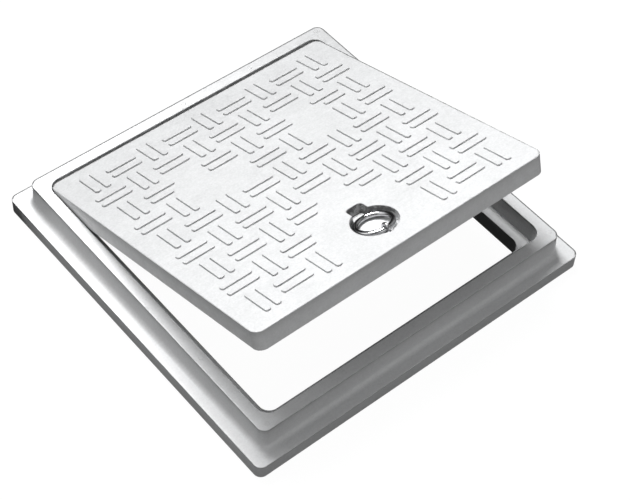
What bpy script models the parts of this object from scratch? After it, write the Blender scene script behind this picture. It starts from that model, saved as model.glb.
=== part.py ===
"""Square composite manhole cover and frame, with the cover tilted open.

The frame stands on Z = 0 with its centre on the origin. The cover is modelled
shut, with the centre of its top face as origin, and an empty then tilts it open.
"""
import math

import bmesh
import bpy
from mathutils import Matrix, Vector

# Frame: a one-piece moulding round a square clear opening, in metres
CLEAR_HALF = 0.3000
LEDGE_WIDTH = 0.0227
LEDGE_HEIGHT = 0.0355
RECESS_DRAFT = 0.0008
RIM_WIDTH = 0.0245
RIM_HEIGHT = 0.0780
FLANGE_WIDTH = 0.0295
FLANGE_HEIGHT = 0.0300
WALL_FILLET = 0.0110
EDGE_ROUND = 0.0015
RECESS_EDGE = 0.0018
CLEAR_CORNER = 0.0210
RECESS_CORNER = 0.0240
RIM_CORNER = 0.0165
FLANGE_CORNER = 0.0150

# Frame underside: open pockets between ribs, closed at the top
FRAME_WALL = 0.0070
FRAME_RIB = 0.0080
FRAME_POCKET_DEPTH = 0.0220
FRAME_POCKETS_PER_SIDE = 8

# Cover: a ribbed moulding that drops into the frame's recess
COVER_GAP = 0.0022
COVER_THICKNESS = 0.0405
COVER_CORNER = 0.0185
COVER_SIDE_DRAFT = 0.0005
SEAT_GAP = 0.0003
COVER_WALL = 0.0080
COVER_SKIN = 0.0090
COVER_RIB = 0.0060
COVER_CELLS = 7
MOULD_DRAFT = 0.0010
COVER_TILT_DEG = 17.85

# Tilt axis, placed so that the cover's lower back edge stays on the ledge
AXIS_INSET = 0.0055
AXIS_DEPTH = 0.0006

# Tread: pairs of raised bars in a basket weave of nine by nine cells. Cells are
# (row from the back, column from -X). A cut bar is the front one of its cell,
# shortened at its +X end, or at its -X end where the value is negative.
TREAD_CELLS = 9
TREAD_PITCH = 0.0645
BAR_LENGTH = 0.0630
BAR_WIDTH = 0.0105
BAR_SPACING = 0.0220
BAR_HEIGHT = 0.0030
BAR_BEVEL = 0.0005
BAR_SINK = 0.0010
PLAIN_CIRCLE = 0.1100
SHORTEST_BAR = 0.70
PLAIN_CELLS = {(2, 2), (3, 2), (3, 3), (2, 6), (3, 6)}
CUT_BARS = {(2, 1): 0.0160, (2, 7): -0.0160}

# Ring pocket: a round recess with a finger lobe towards the cover's back edge
POCKET_Y = -0.2380
POCKET_RADIUS = 0.0435
POCKET_DEPTH = 0.0200
POCKET_FLOOR = 0.0070
POCKET_WALL = 0.0070
LOBE_WIDTH = 0.0350
LOBE_REACH = 0.0610
LOBE_CORNER = 0.0080
NOTCH_RADIUS = 0.0080
NOTCH_OFFSET = 0.0380

# Lifting ring and the eye bolt that it hangs on
RING_RADIUS = 0.0335
RING_BAR = 0.00525
RING_FRONT_DEPTH = 0.0030
RING_OFFSET = 0.0030
RING_REST_DEG = 9.7
EYE_WIRE = 0.0030
EYE_CLEARANCE = 0.0008
COLLAR_RADIUS = 0.0080
COLLAR_HEIGHT = 0.0030
NECK_RADIUS = 0.0042
SHANK_RADIUS = 0.0050
SHANK_END = 0.0392
HOLE_CLEARANCE = 0.0004
TOUCH_GAP = 0.0003
WASHER_RADIUS = 0.0120
WASHER_HEIGHT = 0.0020
SPRING_WASHER_RADIUS = 0.0088
SPRING_WASHER_HEIGHT = 0.0022
NUT_ACROSS_FLATS = 0.0160
NUT_HEIGHT = 0.0065

# Cutters reach this far past the faces that they cut
OVERSHOOT = 0.0020

CORNER_STEPS = 6
FILLET_STEPS = 4
POCKET_SEGMENTS = 40
LOBE_STEPS = 3
NOTCH_STEPS = 6
ROUND_SEGMENTS = 24
BAR_END_CUT = 0.6
EYE_NECK_TAPER = 0.6

# Values that follow from the ones above
RECESS_BOTTOM = CLEAR_HALF + LEDGE_WIDTH
RECESS_TOP = RECESS_BOTTOM + RECESS_DRAFT
RIM_OUTER = RECESS_TOP + RIM_WIDTH
FLANGE_OUTER = RIM_OUTER + FLANGE_WIDTH
COVER_HALF = RECESS_TOP - COVER_GAP
COVER_TOP_Z = LEDGE_HEIGHT + SEAT_GAP + COVER_THICKNESS
AXIS_Y = COVER_HALF - AXIS_INSET
RING_PIVOT_Y = POCKET_Y - RING_RADIUS + RING_OFFSET


def clear_scene():
    for item in list(bpy.data.objects):
        bpy.data.objects.remove(item, do_unlink=True)


def make_material(name, colour, roughness, metallic):
    material = bpy.data.materials.new(name)
    material.use_nodes = True
    shader = material.node_tree.nodes["Principled BSDF"]
    shader.inputs["Base Color"].default_value = (*colour, 1.0)
    shader.inputs["Roughness"].default_value = roughness
    shader.inputs["Metallic"].default_value = metallic
    return material


def make_object(name, bm, material, parent=None, location=(0.0, 0.0, 0.0)):
    bmesh.ops.recalc_face_normals(bm, faces=bm.faces)
    mesh = bpy.data.meshes.new(name)
    bm.to_mesh(mesh)
    bm.free()
    mesh.materials.append(material)
    mesh.shade_smooth()
    mesh.set_sharp_from_angle(angle=math.radians(30.0))
    item = bpy.data.objects.new(name, mesh)
    bpy.context.scene.collection.objects.link(item)
    item.parent = parent
    item.location = location
    return item


def make_cutter(name, bm, material, parent=None):
    item = make_object(name, bm, material, parent)
    item.hide_render = True
    item.display_type = "WIRE"
    return item


def add_boolean(item, tool, operation):
    modifier = item.modifiers.new(tool.name, "BOOLEAN")
    modifier.object = tool
    modifier.operation = operation
    modifier.solver = "EXACT"


def arc(centre_x, centre_y, radius, start_deg, end_deg, steps):
    points = []
    for step in range(steps + 1):
        angle = math.radians(start_deg + (end_deg - start_deg) * step / steps)
        points.append((centre_x + radius * math.cos(angle), centre_y + radius * math.sin(angle)))
    return points


def rounded_square(half, radius):
    points = []
    for quarter in range(4):
        middle = math.radians(45.0 + 90.0 * quarter)
        sign_x = math.copysign(1.0, math.cos(middle))
        sign_y = math.copysign(1.0, math.sin(middle))
        start = 90.0 * quarter
        inset = half - radius
        points += arc(sign_x * inset, sign_y * inset, radius, start, start + 90.0, CORNER_STEPS)
    return points


def add_loop(bm, points, z):
    return [bm.verts.new((x, y, z)) for x, y in points]


def bridge(bm, lower, upper):
    count = len(lower)
    for index in range(count):
        following = (index + 1) % count
        bm.faces.new((lower[index], lower[following], upper[following], upper[index]))


def prism(bm, levels):
    """A closed solid through loops of equal length, each given as (points, z)."""
    loops = [add_loop(bm, points, z) for points, z in levels]
    for lower, upper in zip(loops, loops[1:]):
        bridge(bm, lower, upper)
    bm.faces.new(list(reversed(loops[0])))
    bm.faces.new(loops[-1])


def rectangle(centre_x, centre_y, half_x, half_y):
    return [
        (centre_x - half_x, centre_y - half_y),
        (centre_x + half_x, centre_y - half_y),
        (centre_x + half_x, centre_y + half_y),
        (centre_x - half_x, centre_y + half_y),
    ]


def turned(bm, profile, segments):
    """A solid of revolution about Z from (radius, z) points, on the axis at both ends."""
    bottom = bm.verts.new((0.0, 0.0, profile[0][1]))
    top = bm.verts.new((0.0, 0.0, profile[-1][1]))
    loops = []
    for radius, z in profile[1:-1]:
        loops.append(add_loop(bm, arc(0.0, 0.0, radius, 0.0, 360.0, segments)[:-1], z))
    for lower, upper in zip(loops, loops[1:]):
        bridge(bm, lower, upper)
    for index in range(segments):
        following = (index + 1) % segments
        bm.faces.new((bottom, loops[0][following], loops[0][index]))
        bm.faces.new((top, loops[-1][index], loops[-1][following]))


def flat_ring(bm, outer_points, inner_points, low, high):
    """A flat ring between an outer and an inner outline of equal length."""
    outer_low, outer_high = add_loop(bm, outer_points, low), add_loop(bm, outer_points, high)
    inner_low, inner_high = add_loop(bm, inner_points, low), add_loop(bm, inner_points, high)
    bridge(bm, outer_low, outer_high)
    bridge(bm, outer_high, inner_high)
    bridge(bm, inner_high, inner_low)
    bridge(bm, inner_low, outer_low)


def torus(bm, major, minor, major_steps, minor_steps, transform):
    rings = []
    for step in range(major_steps):
        turn = Matrix.Rotation(math.tau * step / major_steps, 4, "Z")
        section = arc(major, 0.0, minor, 0.0, 360.0, minor_steps)[:-1]
        rings.append([bm.verts.new(transform @ turn @ Vector((x, 0.0, z))) for x, z in section])
    for index in range(major_steps):
        bridge(bm, rings[index], rings[(index + 1) % major_steps])


def frame_profile():
    """Points (half width, height, corner radius) round the frame's section."""
    wall_foot = RIM_OUTER + EDGE_ROUND
    fillet_x = wall_foot + WALL_FILLET
    fillet_z = FLANGE_HEIGHT + WALL_FILLET
    profile = [
        (CLEAR_HALF, 0.0, CLEAR_CORNER),
        (CLEAR_HALF, LEDGE_HEIGHT - EDGE_ROUND, CLEAR_CORNER),
        (CLEAR_HALF + EDGE_ROUND, LEDGE_HEIGHT, CLEAR_CORNER + EDGE_ROUND),
        (RECESS_BOTTOM, LEDGE_HEIGHT, RECESS_CORNER),
        (RECESS_TOP, RIM_HEIGHT - RECESS_EDGE, RECESS_CORNER),
        (RECESS_TOP + RECESS_EDGE, RIM_HEIGHT, RECESS_CORNER + RECESS_EDGE),
        (RIM_OUTER - EDGE_ROUND, RIM_HEIGHT, RIM_CORNER - EDGE_ROUND),
        (RIM_OUTER, RIM_HEIGHT - EDGE_ROUND, RIM_CORNER),
    ]
    for x, z in arc(fillet_x, fillet_z, WALL_FILLET, 180.0, 270.0, FILLET_STEPS):
        profile.append((x, z, RIM_CORNER + x - RIM_OUTER))
    profile += [
        (FLANGE_OUTER - EDGE_ROUND, FLANGE_HEIGHT, FLANGE_CORNER - EDGE_ROUND),
        (FLANGE_OUTER, FLANGE_HEIGHT - EDGE_ROUND, FLANGE_CORNER),
        (FLANGE_OUTER, 0.0, FLANGE_CORNER),
    ]
    return profile


def frame_pocket_cutters():
    """Tapered pockets in the frame's underside: a row for each side and one for each corner."""
    bm = bmesh.new()
    inner = CLEAR_HALF + FRAME_WALL
    outer = FLANGE_OUTER - FRAME_WALL
    pitch = 2.0 * CLEAR_HALF / FRAME_POCKETS_PER_SIDE
    centre = (inner + outer) / 2.0
    half_across = (outer - inner) / 2.0
    half_along = (pitch - FRAME_RIB) / 2.0
    corner_half = half_across - FRAME_RIB / 2.0
    for side in range(4):
        turn = Matrix.Rotation(math.radians(90.0 * side), 4, "Z")
        before = set(bm.verts)
        for index in range(FRAME_POCKETS_PER_SIDE):
            along = (index - (FRAME_POCKETS_PER_SIDE - 1) / 2.0) * pitch
            add_tapered_pocket(bm, centre, along, half_across, half_along, FRAME_POCKET_DEPTH)
        corner = inner + corner_half
        add_tapered_pocket(bm, corner, corner, corner_half, corner_half, FRAME_POCKET_DEPTH)
        bmesh.ops.transform(bm, matrix=turn, verts=[v for v in bm.verts if v not in before])
    return bm


def add_tapered_pocket(bm, centre_x, centre_y, half_x, half_y, depth, floor_z=0.0):
    prism(bm, [
        (rectangle(centre_x, centre_y, half_x, half_y), floor_z - OVERSHOOT),
        (rectangle(centre_x, centre_y, half_x, half_y), floor_z),
        (rectangle(centre_x, centre_y, half_x - MOULD_DRAFT, half_y - MOULD_DRAFT), floor_z + depth),
    ])


def build_frame(material):
    bm = bmesh.new()
    loops = [add_loop(bm, rounded_square(half, radius), z) for half, z, radius in frame_profile()]
    for index, loop in enumerate(loops):
        bridge(bm, loop, loops[(index + 1) % len(loops)])
    frame = make_object("frame", bm, material)
    cutter = make_cutter("frame_pocket_cutter", frame_pocket_cutters(), material)
    add_boolean(frame, cutter, "DIFFERENCE")
    return frame


def cover_slab():
    """The cover's outer shape, with the centre of its top face at its own origin."""
    foot = COVER_HALF - COVER_SIDE_DRAFT
    bm = bmesh.new()
    prism(bm, [
        (rounded_square(foot, COVER_CORNER), -COVER_THICKNESS),
        (rounded_square(COVER_HALF, COVER_CORNER), -EDGE_ROUND),
        (rounded_square(COVER_HALF - EDGE_ROUND, COVER_CORNER - EDGE_ROUND), 0.0),
    ])
    return bm


def cover_cell_cutters():
    bm = bmesh.new()
    inner = COVER_HALF - COVER_SIDE_DRAFT - COVER_WALL
    pitch = (2.0 * inner + COVER_RIB) / COVER_CELLS
    half = (pitch - COVER_RIB) / 2.0
    depth = COVER_THICKNESS - COVER_SKIN
    for column in range(COVER_CELLS):
        for row in range(COVER_CELLS):
            x = (column - (COVER_CELLS - 1) / 2.0) * pitch
            y = (row - (COVER_CELLS - 1) / 2.0) * pitch
            add_tapered_pocket(bm, x, y, half, half, depth, -COVER_THICKNESS)
    return bm


def pocket_outline(grow):
    """The ring pocket seen from above: a circle, a lobe at the back and a notch at the front."""
    radius = POCKET_RADIUS + grow
    lobe_half = LOBE_WIDTH / 2.0 + grow
    lobe_end = POCKET_Y + LOBE_REACH + grow
    corner = LOBE_CORNER + grow
    lobe_angle = math.degrees(math.asin(lobe_half / radius))
    notch_y = POCKET_Y - NOTCH_OFFSET
    notch_radius = NOTCH_RADIUS + grow
    reach = (radius ** 2 - notch_radius ** 2 + NOTCH_OFFSET ** 2) / (2.0 * NOTCH_OFFSET)
    meet_x = math.sqrt(radius ** 2 - reach ** 2)
    notch_angle = math.degrees(math.atan2(meet_x, reach))
    notch_start = math.degrees(math.atan2(NOTCH_OFFSET - reach, meet_x))
    points = arc(0.0, POCKET_Y, radius, -90.0 + notch_angle, 90.0 - lobe_angle, POCKET_SEGMENTS // 2)
    points += arc(lobe_half - corner, lobe_end - corner, corner, 0.0, 90.0, LOBE_STEPS)
    points += arc(corner - lobe_half, lobe_end - corner, corner, 90.0, 180.0, LOBE_STEPS)
    points += arc(0.0, POCKET_Y, radius, 90.0 + lobe_angle, 270.0 - notch_angle, POCKET_SEGMENTS // 2)
    notch = arc(0.0, notch_y, notch_radius, 180.0 - notch_start, 360.0 + notch_start, NOTCH_STEPS)
    return points + notch[1:-1]


def pocket_cup():
    """The wall and floor round the ring pocket, hanging under the cover's skin."""
    bm = bmesh.new()
    outline = pocket_outline(POCKET_WALL)
    prism(bm, [
        (outline, -POCKET_DEPTH - POCKET_FLOOR),
        (outline, -COVER_SKIN / 2.0),
    ])
    return bm


def pocket_cutter():
    bm = bmesh.new()
    prism(bm, [
        (pocket_outline(-MOULD_DRAFT), -POCKET_DEPTH),
        (pocket_outline(0.0), 0.0),
        (pocket_outline(0.0), BAR_HEIGHT),
    ])
    return bm


def bolt_hole_cutter():
    bm = bmesh.new()
    hole = arc(0.0, RING_PIVOT_Y, SHANK_RADIUS + HOLE_CLEARANCE, 0.0, 360.0, ROUND_SEGMENTS)[:-1]
    prism(bm, [(hole, -COVER_THICKNESS), (hole, -POCKET_DEPTH + OVERSHOOT)])
    return bm


def trim_to_plain_circle(start, end, across):
    """Shorten a bar's run, start to end, so it stays out of the circle; across is squared."""
    clear = PLAIN_CIRCLE ** 2 - across
    if clear <= 0.0:
        return start, end
    reach = math.sqrt(clear)
    if start < -reach < end:
        return start, -reach
    if start < reach < end:
        return reach, end
    if -reach <= start and end <= reach:
        return start, start
    return start, end


def tread_bars():
    """Centre lines of all bars, each as (centre x, centre y, length, lies along X)."""
    bars = []
    middle = (TREAD_CELLS - 1) / 2.0
    for row in range(TREAD_CELLS):
        for column in range(TREAD_CELLS):
            if (row, column) in PLAIN_CELLS:
                continue
            cell_x = (column - middle) * TREAD_PITCH
            cell_y = (middle - row) * TREAD_PITCH
            along_x = (row + column) % 2 == 1
            for side in (-0.5, 0.5):
                shift = side * BAR_SPACING
                if along_x:
                    y = cell_y + shift
                    cut = CUT_BARS.get((row, column), 0.0) if side < 0.0 else 0.0
                    run = (
                        cell_x - BAR_LENGTH / 2.0 - min(cut, 0.0),
                        cell_x + BAR_LENGTH / 2.0 - max(cut, 0.0),
                    )
                    low, high = trim_to_plain_circle(*run, (y - POCKET_Y) ** 2)
                    bar = ((low + high) / 2.0, y, high - low, True)
                else:
                    x = cell_x + shift
                    run = (cell_y - POCKET_Y - BAR_LENGTH / 2.0, cell_y - POCKET_Y + BAR_LENGTH / 2.0)
                    low, high = trim_to_plain_circle(*run, x ** 2)
                    bar = (x, (low + high) / 2.0 + POCKET_Y, high - low, False)
                if bar[2] >= SHORTEST_BAR * BAR_LENGTH:
                    bars.append(bar)
    return bars


def bar_outline(x, y, length, along_x, inset):
    """A long octagon: a bar with its ends cut off at the corners."""
    half_long = length / 2.0 - inset
    half_wide = BAR_WIDTH / 2.0 - inset
    cut = BAR_END_CUT * half_wide
    points = [
        (-half_long + cut, -half_wide), (half_long - cut, -half_wide),
        (half_long, -half_wide + cut), (half_long, half_wide - cut),
        (half_long - cut, half_wide), (-half_long + cut, half_wide),
        (-half_long, half_wide - cut), (-half_long, -half_wide + cut),
    ]
    if along_x:
        return [(x + u, y + v) for u, v in points]
    return [(x - v, y + u) for u, v in points]


def tread():
    bm = bmesh.new()
    for bar in tread_bars():
        prism(bm, [
            (bar_outline(*bar, 0.0), -BAR_SINK),
            (bar_outline(*bar, 0.0), 0.0),
            (bar_outline(*bar, BAR_BEVEL), BAR_HEIGHT),
        ])
    return bm


def build_cover(material, parent):
    cover = make_object("cover", cover_slab(), material, parent)
    tools = [
        ("cover_cell_cutter", cover_cell_cutters(), "DIFFERENCE"),
        ("pocket_cup_tool", pocket_cup(), "UNION"),
        ("pocket_cutter", pocket_cutter(), "DIFFERENCE"),
        ("bolt_hole_cutter", bolt_hole_cutter(), "DIFFERENCE"),
        ("tread_tool", tread(), "UNION"),
    ]
    for name, bm, operation in tools:
        add_boolean(cover, make_cutter(name, bm, material, parent), operation)
    return cover


def build_lifting_ring(material, parent):
    bm = bmesh.new()
    torus(bm, RING_RADIUS, RING_BAR, 40, 12, Matrix.Translation((0.0, RING_RADIUS, 0.0)))
    pivot = (0.0, RING_PIVOT_Y, -RING_FRONT_DEPTH)
    ring = make_object("lifting_ring", bm, material, parent, pivot)
    ring.rotation_euler = (math.radians(-RING_REST_DEG), 0.0, 0.0)
    return ring


def build_eye_bolt(material, parent):
    """A closed eye on a collared, threaded shank, standing on the pocket's floor."""
    eye_radius = RING_BAR + EYE_CLEARANCE + EYE_WIRE
    floor_z = RING_FRONT_DEPTH - POCKET_DEPTH + TOUCH_GAP
    neck_top = -eye_radius
    bm = bmesh.new()
    turned(bm, [
        (0.0, RING_FRONT_DEPTH - SHANK_END),
        (SHANK_RADIUS - EDGE_ROUND, RING_FRONT_DEPTH - SHANK_END),
        (SHANK_RADIUS, RING_FRONT_DEPTH - SHANK_END + EDGE_ROUND),
        (SHANK_RADIUS, floor_z),
        (COLLAR_RADIUS, floor_z),
        (COLLAR_RADIUS, floor_z + COLLAR_HEIGHT),
        (NECK_RADIUS, floor_z + COLLAR_HEIGHT),
        (NECK_RADIUS * EYE_NECK_TAPER, neck_top),
        (0.0, neck_top),
    ], ROUND_SEGMENTS)
    pivot = (0.0, RING_PIVOT_Y, -RING_FRONT_DEPTH)
    bolt = make_object("eye_bolt", bm, material, parent, pivot)
    eye = bmesh.new()
    torus(eye, eye_radius, EYE_WIRE, 28, 10, Matrix.Rotation(math.radians(90.0), 4, "Y"))
    tool = make_cutter("eye_tool", eye, material, parent)
    tool.location = pivot
    add_boolean(bolt, tool, "UNION")
    return bolt


def build_washer(name, radius, height, top, material, parent):
    bm = bmesh.new()
    bore = SHANK_RADIUS + HOLE_CLEARANCE
    outer = arc(0.0, 0.0, radius, 0.0, 360.0, ROUND_SEGMENTS)[:-1]
    inner = arc(0.0, 0.0, bore, 0.0, 360.0, ROUND_SEGMENTS)[:-1]
    flat_ring(bm, outer, inner, -height, 0.0)
    return make_object(name, bm, material, parent, (0.0, RING_PIVOT_Y, top))


def build_nut(top, material, parent):
    bm = bmesh.new()
    corner_radius = NUT_ACROSS_FLATS / math.sqrt(3.0)
    per_side = ROUND_SEGMENTS // 6
    outer = []
    for side in range(6):
        start = Vector((corner_radius, 0.0)) @ Matrix.Rotation(math.radians(-60.0 * side), 2)
        end = Vector((corner_radius, 0.0)) @ Matrix.Rotation(math.radians(-60.0 * (side + 1)), 2)
        outer += [tuple(start.lerp(end, step / per_side)) for step in range(per_side)]
    inner = arc(0.0, 0.0, SHANK_RADIUS + HOLE_CLEARANCE, 0.0, 360.0, ROUND_SEGMENTS)[:-1]
    flat_ring(bm, outer, inner, -NUT_HEIGHT, 0.0)
    return make_object("hex_nut", bm, material, parent, (0.0, RING_PIVOT_Y, top))


def build_fixings(material, parent):
    washer_top = -POCKET_DEPTH - POCKET_FLOOR - TOUCH_GAP
    spring_top = washer_top - WASHER_HEIGHT - TOUCH_GAP
    nut_top = spring_top - SPRING_WASHER_HEIGHT - TOUCH_GAP
    build_washer("plain_washer", WASHER_RADIUS, WASHER_HEIGHT, washer_top, material, parent)
    build_washer("spring_washer", SPRING_WASHER_RADIUS, SPRING_WASHER_HEIGHT, spring_top, material, parent)
    build_nut(nut_top, material, parent)


def cover_axes():
    """Two empties: the tilt axis, and on it the centre of the cover's top face."""
    axis = bpy.data.objects.new("cover_axis", None)
    centre = bpy.data.objects.new("cover_centre", None)
    for item in (axis, centre):
        bpy.context.scene.collection.objects.link(item)
    axis.location = (0.0, AXIS_Y, COVER_TOP_Z - AXIS_DEPTH)
    axis.rotation_euler = (math.radians(-COVER_TILT_DEG), 0.0, 0.0)
    centre.parent = axis
    centre.location = (0.0, -AXIS_Y, AXIS_DEPTH)
    return centre


def main():
    clear_scene()
    composite = make_material("grey_composite", (0.62, 0.63, 0.64), 0.45, 0.0)
    steel = make_material("polished_steel", (0.66, 0.66, 0.67), 0.16, 1.0)
    centre = cover_axes()
    build_frame(composite)
    build_cover(composite, centre)
    build_lifting_ring(steel, centre)
    build_eye_bolt(steel, centre)
    build_fixings(steel, centre)


main()
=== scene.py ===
"""Looks, light and camera for the square composite manhole cover and its frame.

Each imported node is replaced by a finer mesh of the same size, built here from
the same measures. The cover and its fittings are modelled shut, with the
centre of the cover's top face as their origin, and then tilted open.
"""
import math

import bmesh
import bpy
from mathutils import Matrix, Vector
from mathutils.geometry import delaunay_2d_cdt

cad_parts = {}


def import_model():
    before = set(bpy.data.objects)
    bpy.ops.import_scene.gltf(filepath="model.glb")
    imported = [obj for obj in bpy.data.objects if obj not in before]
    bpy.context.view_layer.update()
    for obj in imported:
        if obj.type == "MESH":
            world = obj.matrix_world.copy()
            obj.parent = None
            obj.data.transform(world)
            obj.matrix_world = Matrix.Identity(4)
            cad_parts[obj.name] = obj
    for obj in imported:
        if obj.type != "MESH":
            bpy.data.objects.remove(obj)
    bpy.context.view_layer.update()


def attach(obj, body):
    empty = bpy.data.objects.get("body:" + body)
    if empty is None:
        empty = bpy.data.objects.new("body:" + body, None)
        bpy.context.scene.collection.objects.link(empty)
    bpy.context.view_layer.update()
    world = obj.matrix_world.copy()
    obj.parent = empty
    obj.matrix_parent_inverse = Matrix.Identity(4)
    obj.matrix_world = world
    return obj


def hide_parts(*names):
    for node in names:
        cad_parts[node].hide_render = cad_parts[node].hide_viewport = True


MM = 0.001

# Frame section, in metres: half widths from the centre, heights from the ground
CLEAR_HALF = 0.3000
LEDGE_Z = 0.0355
RECESS_BOTTOM = 0.3227
RECESS_TOP = 0.3235
RIM_OUTER = 0.3480
RIM_Z = 0.0780
WALL_FOOT = 0.3495
WALL_FILLET = 0.0110
FLANGE_OUTER = 0.3775
FLANGE_Z = 0.0300
CLEAR_CORNER = 0.0210
RECESS_CORNER = 0.0240
RIM_CORNER = 0.0165
FLANGE_CORNER = 0.0150
EDGE_ROUND = 0.0015
RECESS_EDGE = 0.0018
LEDGE_FILLET = 0.0010
FOOT_ROUND = 0.0008
PIP_RADIUS = 0.0045
PIP_HEIGHT = 0.0003
PIP_SPOTS = (-0.330, -0.162, 0.0, 0.162)
FRAME_WALL = 0.0070
FRAME_RIB = 0.0080
FRAME_POCKET_DEPTH = 0.0220
FRAME_POCKETS = 8

# Painted shade: a dark line along the far edges; how far in it fades out and is full, and how dark it is
EDGE_LINE = (0.0034, 0.0030)
EDGE_LINE_SHADE = 3.2
COVER_LINE_SHADE = 1.2

# Painted shade inside the frame; below zero it is painted light, lighter than the rest
WALL_SHADE = 3.0
LEDGE_SHADE = -0.5
LEDGE_CORNER_SHADE = 0.9
RECESS_EDGE_SHADE = 2.5

# Cover
COVER_HALF = 0.3213
COVER_TOP_Z = 0.0763
COVER_THICKNESS = 0.0405
COVER_CORNER = 0.0185
SIDE_DRAFT = 0.0005
COVER_EDGE = 0.0018
COVER_WALL = 0.0080
COVER_SKIN = 0.0090
COVER_RIB = 0.0060
COVER_CELLS = 7
MOULD_DRAFT = 0.0010
TILT_DEG = -17.85
AXIS_INSET = 0.0055
AXIS_DEPTH = 0.0006

# Tread bars
TREAD_CELLS = 9
TREAD_PITCH = 0.0645
BAR_LENGTH = 0.0630
BAR_WIDTH = 0.0105
BAR_SPACING = 0.0220
BAR_CORNER = 0.0040
PLAIN_CIRCLE = 0.1100
SHORTEST_BAR = 0.70
PLAIN_CELLS = {(2, 2), (3, 2), (3, 3), (2, 6), (3, 6)}
# the front bar of these cells, shortened at its +X end, or at its -X end if negative
CUT_BARS = {(2, 1): 0.0160, (2, 7): -0.0160}
# each row: how far the bar's outline grows, its height, wear and painted light, and painted shade on the
# bar's foot and flanks
BAR_STEPS = (
    (1.60 * MM, 0.00 * MM, 0.0, 0.0),
    (1.10 * MM, 0.03 * MM, 0.0, 0.7),
    (0.40 * MM, 0.08 * MM, 0.0, 1.5),
    (0.10 * MM, 0.28 * MM, 0.0, 1.5),
    (0.00 * MM, 0.70 * MM, 0.0, 1.4),
    (-0.10 * MM, 2.45 * MM, 0.0, 1.2),
    (-0.22 * MM, 2.80 * MM, 0.0, 0.6),
    (-0.55 * MM, 3.00 * MM, 0.0, 0.0),
)

# Ring pocket, lifting ring, eye bolt and its fixings
POCKET_Y = -0.2380
POCKET_RADIUS = 0.0435
POCKET_DEPTH = 0.0200
POCKET_FLOOR = 0.0070
POCKET_WALL = 0.0070
POCKET_LIP = 0.0012
POCKET_FILLET = 0.0020
LOBE_WIDTH = 0.0350
LOBE_REACH = 0.0610
LOBE_CORNER = 0.0080
NOTCH_RADIUS = 0.0080
NOTCH_OFFSET = 0.0380
# painted light on the ring pocket's floor, painted shade on its walls
POCKET_FLOOR_SHADE = -1.2
POCKET_WALL_SHADE = 2.6
RING_RADIUS = 0.0335
RING_BAR = 0.00525
RING_DEPTH = 0.0030
RING_PIVOT_Y = -0.2685
RING_REST_DEG = -9.7
EYE_WIRE = 0.0030
EYE_RADIUS = 0.00905
BOLT_FLOOR = -0.0167
COLLAR_RADIUS = 0.0080
COLLAR_HEIGHT = 0.0030
NECK_RADIUS = 0.0042
SHANK_RADIUS = 0.0050
SHANK_END = -0.0362
THREAD_PITCH = 0.0015
THREAD_DEPTH = 0.0008
BORE_RADIUS = 0.0054
WASHER_RADIUS = 0.0120
SPRING_RADIUS = 0.0088
NUT_FLATS = 0.0160
# bottom and top of each fixing, from the cover's top face
WASHER_HEIGHTS = (-29.3 * MM, -27.3 * MM)
SPRING_HEIGHTS = (-31.8 * MM, -29.6 * MM)
NUT_HEIGHTS = (-38.6 * MM, -32.1 * MM)

# Camera, in metres and degrees
LENS = 96.131
CAMERA_AZIMUTH = -42.341
CAMERA_ELEVATION = 51.049
CAMERA_ROLL = 3.586
CAMERA_DISTANCE = 3.1317
CAMERA_TARGET = Vector((0.01202, -0.05231, 0.0))

# Light: azimuth 0 is in front, at -Y, and angles are in degrees
# each row: azimuth, elevation, narrowness, strength
SKY_LOBES = (
    (0.0, 25.0, 8.0, 1.80),
    (240.0, 25.0, 8.0, 1.65),
    (240.0, 60.0, 8.0, 0.70),
    (90.0, 25.0, 8.0, 0.55),
)
SKY_GLOW = 0.03
# each row: name, azimuth, elevation, distance, size, power in watts
LIGHTS = (
    ("key_light", 162.0, 61.0, 4.0, 1.6, 225.0),
    ("second_light", 190.0, 58.0, 4.0, 1.6, 75.0),
)
FLOOR_REACH = 12.0
DOME_RADIUS = 11.5

# Composite
FRAME_GREY = (0.50, 0.505, 0.51)
COVER_GREY = (0.55, 0.555, 0.56)
FRAME_FLOW_DEG = 20.0
COVER_FLOW_DEG = 75.0
# direction in which the painted shade on upward faces grows, where along it the growth starts and ends,
# least and most painted shade
FRAME_TOP_SHADE = ((0.6, 0.8, 0.0), 0.0, 0.45, 0.0, 0.36)
COVER_TOP_SHADE = ((0.0, 1.0, 0.0), -0.30, 0.36, 0.18, 0.35)
# where along Y the painted shade on the left side starts and is full
LEFT_SHADE_RUN = (0.25, 0.36)
FRAME_LEFT_SHADE = 0.40
# painted light: below zero it makes the cover's front faces lighter
COVER_FRONT_SHADE = -0.07


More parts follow.
